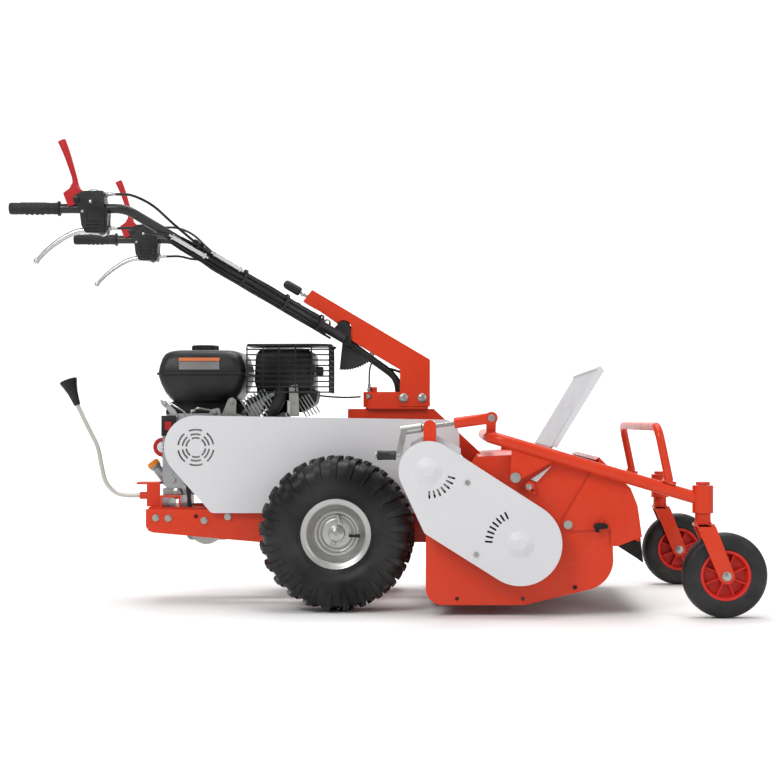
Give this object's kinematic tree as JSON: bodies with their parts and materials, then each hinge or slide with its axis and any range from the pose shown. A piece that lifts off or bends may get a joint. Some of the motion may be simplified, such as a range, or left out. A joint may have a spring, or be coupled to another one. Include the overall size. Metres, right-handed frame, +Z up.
{
  "type": "walk-behind flail mower",
  "caption": "Petrol walk-behind flail mower: belt-driven rotor deck on two drive wheels, front casters on height-adjustable arms, and a tilting, turning handlebar with dead-man levers.",
  "frame": {"origin": "on the ground, at the middle of the overall length and width", "axes": "+X is the travel direction, +Y the machine's left, +Z up"},
  "size_m": [1.94, 0.916, 1.229],
  "materials": {
    "orange_red_paint": "satin powder coat",
    "white_paint": "satin powder coat",
    "white_panel": "matte",
    "black_plastic": "fine grain",
    "black_paint": "satin",
    "rubber": "matte",
    "tyre_rubber": "matte",
    "zinc_steel": "zinc plated",
    "silver_paint": "satin silver",
    "cast_alloy": "as cast",
    "cast_iron": "rough",
    "red_plastic": "gloss",
    "amber_plastic": "matte",
    "cable_jacket": "satin"
  },
  "bodies": {
    "machine": {"air_cleaner": "black_plastic", "axle_housing": "cast_iron", "bearing_cover": "white_paint", "chain_drive": "zinc_steel", "chassis_frame": "orange_red_paint", "column_support": "orange_red_paint", "debris_shield": "white_panel", "deck_belt_cover": "white_paint", "deck_housing": "orange_red_paint", "drive_belts": "rubber", "engine_block": "cast_alloy", "frame_bolts": "zinc_steel", "fuel_tank": "black_plastic", "gearbox": "cast_alloy", "jackshaft_housing": "white_paint", "main_belt_guard": "white_paint", "muffler": "silver_paint", "muffler_guard": "black_paint", "oil_filler": "amber_plastic", "pivot_bolts": "zinc_steel", "recoil_starter": "black_plastic", "rotor_bearings": "cast_iron", "screw_trunnion": "zinc_steel", "stop_switch": "black_plastic", "throttle_cable": "cable_jacket"},
    "fuel_cap_body": {"fuel_cap": "black_plastic"},
    "switch_rocker": {"stop_rocker": "red_plastic"},
    "crankshaft": {"crank_pulleys": "zinc_steel"},
    "traction_input": {"traction_pulley": "zinc_steel"},
    "jackshaft_body": {"jackshaft": "zinc_steel"},
    "rotor_body": {"rotor": "black_paint", "flails": "zinc_steel"},
    "right_wheel": {"right_wheel_rim": "silver_paint", "right_drive_tyre": "tyre_rubber"},
    "left_wheel": {"left_wheel_rim": "silver_paint", "left_drive_tyre": "tyre_rubber"},
    "arms": {"arm_frame": "orange_red_paint", "front_hoop": "orange_red_paint"},
    "right_fork": {"right_caster_fork": "orange_red_paint"},
    "left_fork": {"left_caster_fork": "orange_red_paint"},
    "right_caster": {"right_caster_wheel": "rubber"},
    "left_caster": {"left_caster_wheel": "rubber"},
    "hood": {"front_hood": "orange_red_paint"},
    "flap": {"front_flap": "rubber"},
    "crank": {"height_crank": "zinc_steel"},
    "nut_tube": {"screw_nut_tube": "orange_red_paint"},
    "column_body": {"column": "orange_red_paint", "column_base": "orange_red_paint", "column_cables": "cable_jacket"},
    "lock": {"lock_rod": "black_plastic"},
    "pawl": {"tilt_pawl": "zinc_steel"},
    "handles": {"handlebar": "black_paint", "grips": "rubber", "lever_housings": "black_plastic", "handlebar_cables": "cable_jacket"},
    "right_safety": {"right_red_lever": "red_plastic"},
    "left_safety": {"left_red_lever": "red_plastic"},
    "right_brake": {"right_brake_lever": "zinc_steel"},
    "left_brake": {"left_brake_lever": "zinc_steel"},
    "gear_body": {"gear_lever": "black_plastic"}
  },
  "joints": [
    {"name": "right_wheel_spin", "type": "hinge", "parent": "machine", "child": "right_wheel", "pos_m": [-0.132, -0.252, 0.205], "axis": [0, 1, 0], "continuous": true},
    {"name": "left_wheel_spin", "type": "hinge", "parent": "machine", "child": "left_wheel", "pos_m": [-0.132, 0.252, 0.205], "axis": [0, 1, 0], "continuous": true},
    {"name": "arm_pitch", "type": "hinge", "parent": "machine", "child": "arms", "pos_m": [0.331, 0, 0.356], "axis": [0, 1, 0], "range_deg": [-8, 5]},
    {"name": "right_caster_swivel", "type": "hinge", "parent": "arms", "child": "right_fork", "pos_m": [0.807, -0.4, 0.3], "axis": [0, 0, 1], "continuous": true},
    {"name": "right_caster_spin", "type": "hinge", "parent": "right_fork", "child": "right_caster", "pos_m": [0.8615, -0.4, 0.1085], "axis": [0, 1, 0], "continuous": true},
    {"name": "left_caster_swivel", "type": "hinge", "parent": "arms", "child": "left_fork", "pos_m": [0.807, 0.4, 0.3], "axis": [0, 0, 1], "continuous": true},
    {"name": "left_caster_spin", "type": "hinge", "parent": "left_fork", "child": "left_caster", "pos_m": [0.8615, 0.4, 0.1085], "axis": [0, 1, 0], "continuous": true},
    {"name": "screw_tilt", "type": "hinge", "parent": "machine", "child": "crank", "pos_m": [0.114, -0.4, 0.4855], "axis": [0, 1, 0], "range_deg": [-3, 3]},
    {"name": "nut_slide", "type": "slide", "parent": "crank", "child": "nut_tube", "axis": [0.9906, 0, 0.1365], "range_m": [-0.024, 0.024]},
    {"name": "rotor_spin", "type": "hinge", "parent": "machine", "child": "rotor_body", "pos_m": [0.342, 0, 0.19], "axis": [0, 1, 0], "continuous": true},
    {"name": "jackshaft_spin", "type": "hinge", "parent": "machine", "child": "jackshaft_body", "pos_m": [0.111, -0.25, 0.374], "axis": [0, 1, 0], "continuous": true},
    {"name": "crankshaft_spin", "type": "hinge", "parent": "machine", "child": "crankshaft", "pos_m": [-0.52, -0.1, 0.428], "axis": [0, 1, 0], "continuous": true},
    {"name": "traction_spin", "type": "hinge", "parent": "machine", "child": "traction_input", "pos_m": [-0.502, -0.086, 0.208], "axis": [0, 1, 0], "continuous": true},
    {"name": "hood_hinge", "type": "hinge", "parent": "machine", "child": "hood", "pos_m": [0.466, 0, 0.235], "axis": [0, 1, 0], "range_deg": [-30, 0]},
    {"name": "flap_hinge", "type": "hinge", "parent": "hood", "child": "flap", "pos_m": [0.652, 0, 0.194], "axis": [0, 1, 0], "range_deg": [-30, 25]},
    {"name": "column_yaw", "type": "hinge", "parent": "machine", "child": "column_body", "pos_m": [0.036, 0, 0.5], "axis": [0, 0, 1], "range_deg": [-20, 20]},
    {"name": "handlebar_tilt", "type": "hinge", "parent": "column_body", "child": "handles", "pos_m": [-0.13, 0, 0.757], "axis": [0, 1, 0], "range_deg": [-10, 8]},
    {"name": "lock_slide", "type": "slide", "parent": "column_body", "child": "lock", "axis": [-0.8607, 0, 0.509], "range_m": [0, 0.012], "stiffness_N_per_m": 400},
    {"name": "pawl_turn", "type": "hinge", "parent": "column_body", "child": "pawl", "pos_m": [-0.04, -0.021, 0.704], "axis": [0, 1, 0], "range_deg": [-26, 2]},
    {"name": "right_safety_squeeze", "type": "hinge", "parent": "handles", "child": "right_safety", "pos_m": [-0.793, -0.34, 1.069], "axis": [0, 1, 0], "range_deg": [-60, 0], "stiffness_Nm_per_rad": 0.5},
    {"name": "right_brake_squeeze", "type": "hinge", "parent": "handles", "child": "right_brake", "pos_m": [-0.73, -0.34, 0.986], "axis": [0, 1, 0], "range_deg": [0, 28], "stiffness_Nm_per_rad": 0.8},
    {"name": "left_safety_squeeze", "type": "hinge", "parent": "handles", "child": "left_safety", "pos_m": [-0.793, 0.34, 1.069], "axis": [0, 1, 0], "range_deg": [-60, 0], "stiffness_Nm_per_rad": 0.5},
    {"name": "left_brake_squeeze", "type": "hinge", "parent": "handles", "child": "left_brake", "pos_m": [-0.73, 0.34, 0.986], "axis": [0, 1, 0], "range_deg": [0, 28], "stiffness_Nm_per_rad": 0.8},
    {"name": "gear_slide", "type": "slide", "parent": "machine", "child": "gear_body", "axis": [1, 0, 0], "range_m": [-0.025, 0.025]},
    {"name": "fuel_cap_turn", "type": "hinge", "parent": "machine", "child": "fuel_cap_body", "pos_m": [-0.523, 0.02, 0.7], "axis": [0, 0, 1], "range_deg": [0, 90]},
    {"name": "switch_rock", "type": "hinge", "parent": "machine", "child": "switch_rocker", "pos_m": [-0.609, -0.076, 0.486], "axis": [1, 0, 0], "range_deg": [-8, 8]}
  ],
  "couplings": [
    {"joint": "jackshaft_spin", "follows": "rotor_spin", "ratio": 1.4505},
    {"joint": "crankshaft_spin", "follows": "rotor_spin", "ratio": 1.7118},
    {"joint": "traction_spin", "follows": "rotor_spin", "ratio": 1.8809},
    {"joint": "screw_tilt", "follows": "arm_pitch", "ratio": -0.27},
    {"joint": "nut_slide", "follows": "arm_pitch", "m_per_rad": 0.158},
    {"joint": "pawl_turn", "follows": "lock_slide", "rad_per_m": -35}
  ]
}
